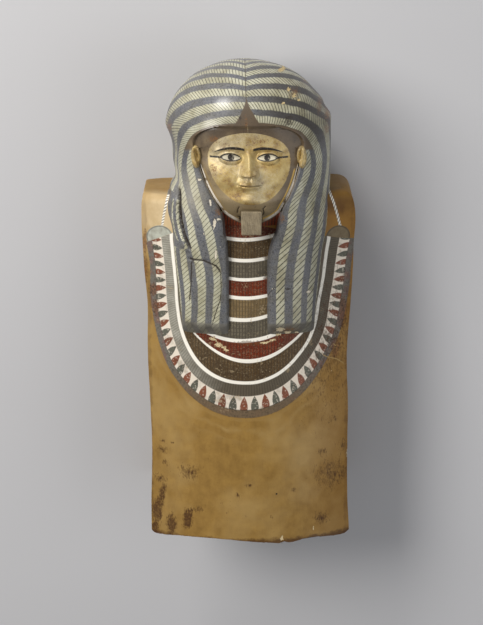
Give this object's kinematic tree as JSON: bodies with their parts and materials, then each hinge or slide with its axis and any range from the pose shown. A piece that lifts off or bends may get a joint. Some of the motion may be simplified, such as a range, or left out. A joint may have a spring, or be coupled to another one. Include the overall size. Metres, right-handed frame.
{
  "type": "funerary helmet mask",
  "caption": "Helmet mask of painted and gilded cartonnage, lying on its back: striped wig, broad collar, long plain breast panel, square false beard.",
  "frame": {"origin": "centre of the underside of the bounding box, on the plane the mask lies on", "axes": "+Y from the bottom rim up to the crown of the head, +Z from the back to the face, +X to the viewer's right"},
  "size_m": [0.309, 0.704, 0.251],
  "materials": {
    "cartonnage": "linen and gesso, painted, part gilded, thin old varnish",
    "beard": "painted grey tan, worn"
  },
  "bodies": {
    "root": {"mask": "cartonnage", "beard": "beard"}
  },
  "joints": []
}
